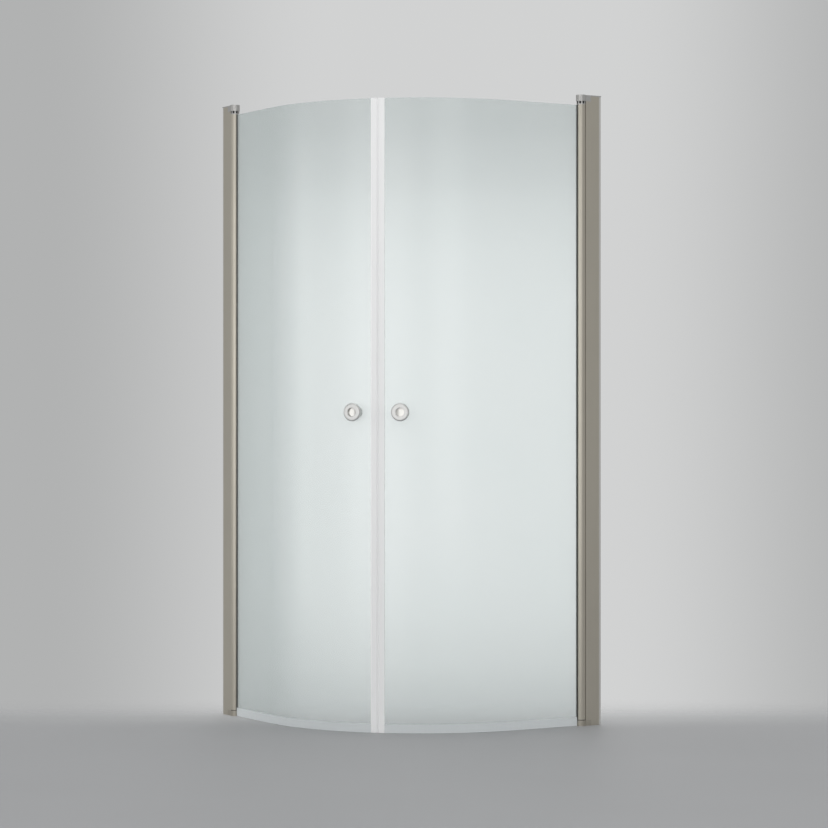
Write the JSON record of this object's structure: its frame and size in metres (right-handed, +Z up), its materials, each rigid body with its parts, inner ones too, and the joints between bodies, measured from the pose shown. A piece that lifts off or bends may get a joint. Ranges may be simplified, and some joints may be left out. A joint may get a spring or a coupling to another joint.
{
  "type": "corner shower screen",
  "caption": "Quarter-round corner shower screen with curved frosted glass doors that swing both ways on rising tube hinges beside aluminium wall posts.",
  "frame": {"origin": "on the floor, in the middle of the square that the two walls and the outermost hinge faces bound", "axes": "+Z up; +Y towards the wall that the left door hangs on; +X towards the wall that the right door hangs on"},
  "size_m": [0.9, 0.9, 2],
  "materials": {
    "post_aluminium": "satin anodised, warm champagne tone",
    "channel_aluminium": "natural anodised",
    "cast_silver": "satin grey casting",
    "grey_plastic": "moulded, matched to the posts",
    "steel": "stainless",
    "black_rubber": "black extruded gasket",
    "black_plastic": "black bearing plastic",
    "frosted_glass": "acid-frosted toughened glass, polished edges",
    "clear_seal": "whitish translucent extruded seal",
    "magnet": "flexible magnet strip with a white skin",
    "knob_satin": "satin nickel ring",
    "knob_polished": "polished centre disc",
    "soft_washer": "soft translucent washer",
    "white_plastic": "moulded sleeve"
  },
  "bodies": {
    "frame": {"left_wall_channel": "channel_aluminium", "left_hinge_post": "post_aluminium", "left_post_cap": "grey_plastic", "left_adjusting_screws": "steel", "left_screw_covers": "grey_plastic", "left_top_arm": "cast_silver", "left_top_pin": "steel", "left_bottom_arm": "cast_silver", "left_bottom_pin": "steel", "left_arm_screws": "steel", "left_hinge_seal": "black_rubber", "right_wall_channel": "channel_aluminium", "right_hinge_post": "post_aluminium", "right_post_cap": "grey_plastic", "right_adjusting_screws": "steel", "right_screw_covers": "grey_plastic", "right_top_arm": "cast_silver", "right_top_pin": "steel", "right_bottom_arm": "cast_silver", "right_bottom_pin": "steel", "right_arm_screws": "steel", "right_hinge_seal": "black_rubber"},
    "left_swivel": {"left_bottom_bush": "black_plastic"},
    "right_swivel": {"right_bottom_bush": "black_plastic"},
    "left_door": {"left_hinge_tube": "post_aluminium", "left_crown_ring": "cast_silver", "left_top_bush": "black_plastic", "left_glazing_gasket": "black_rubber", "left_door_glass": "frosted_glass", "left_bottom_seal": "clear_seal", "left_edge_seal": "clear_seal", "left_magnet_strip": "magnet", "left_outer_knob": "knob_satin", "left_inner_knob": "knob_satin", "left_knob_caps": "knob_polished", "left_knob_washers": "soft_washer", "left_knob_sleeve": "white_plastic", "left_knob_screw": "steel"},
    "right_door": {"right_hinge_tube": "post_aluminium", "right_crown_ring": "cast_silver", "right_top_bush": "black_plastic", "right_glazing_gasket": "black_rubber", "right_door_glass": "frosted_glass", "right_bottom_seal": "clear_seal", "right_edge_seal": "clear_seal", "right_magnet_strip": "magnet", "right_outer_knob": "knob_satin", "right_inner_knob": "knob_satin", "right_knob_caps": "knob_polished", "right_knob_washers": "soft_washer", "right_knob_sleeve": "white_plastic", "right_knob_screw": "steel"}
  },
  "joints": [
    {"name": "left_swing", "type": "hinge", "parent": "frame", "child": "left_swivel", "pos_m": [-0.434, 0.3795, 0], "axis": [0, 0, -1], "range_deg": [-75, 95]},
    {"name": "left_lift", "type": "slide", "parent": "left_swivel", "child": "left_door", "axis": [0, 0, 1], "range_m": [0, 0.008]},
    {"name": "right_swing", "type": "hinge", "parent": "frame", "child": "right_swivel", "pos_m": [0.3795, -0.434, 0], "axis": [0, 0, 1], "range_deg": [-75, 95]},
    {"name": "right_lift", "type": "slide", "parent": "right_swivel", "child": "right_door", "axis": [0, 0, 1], "range_m": [0, 0.008]}
  ]
}
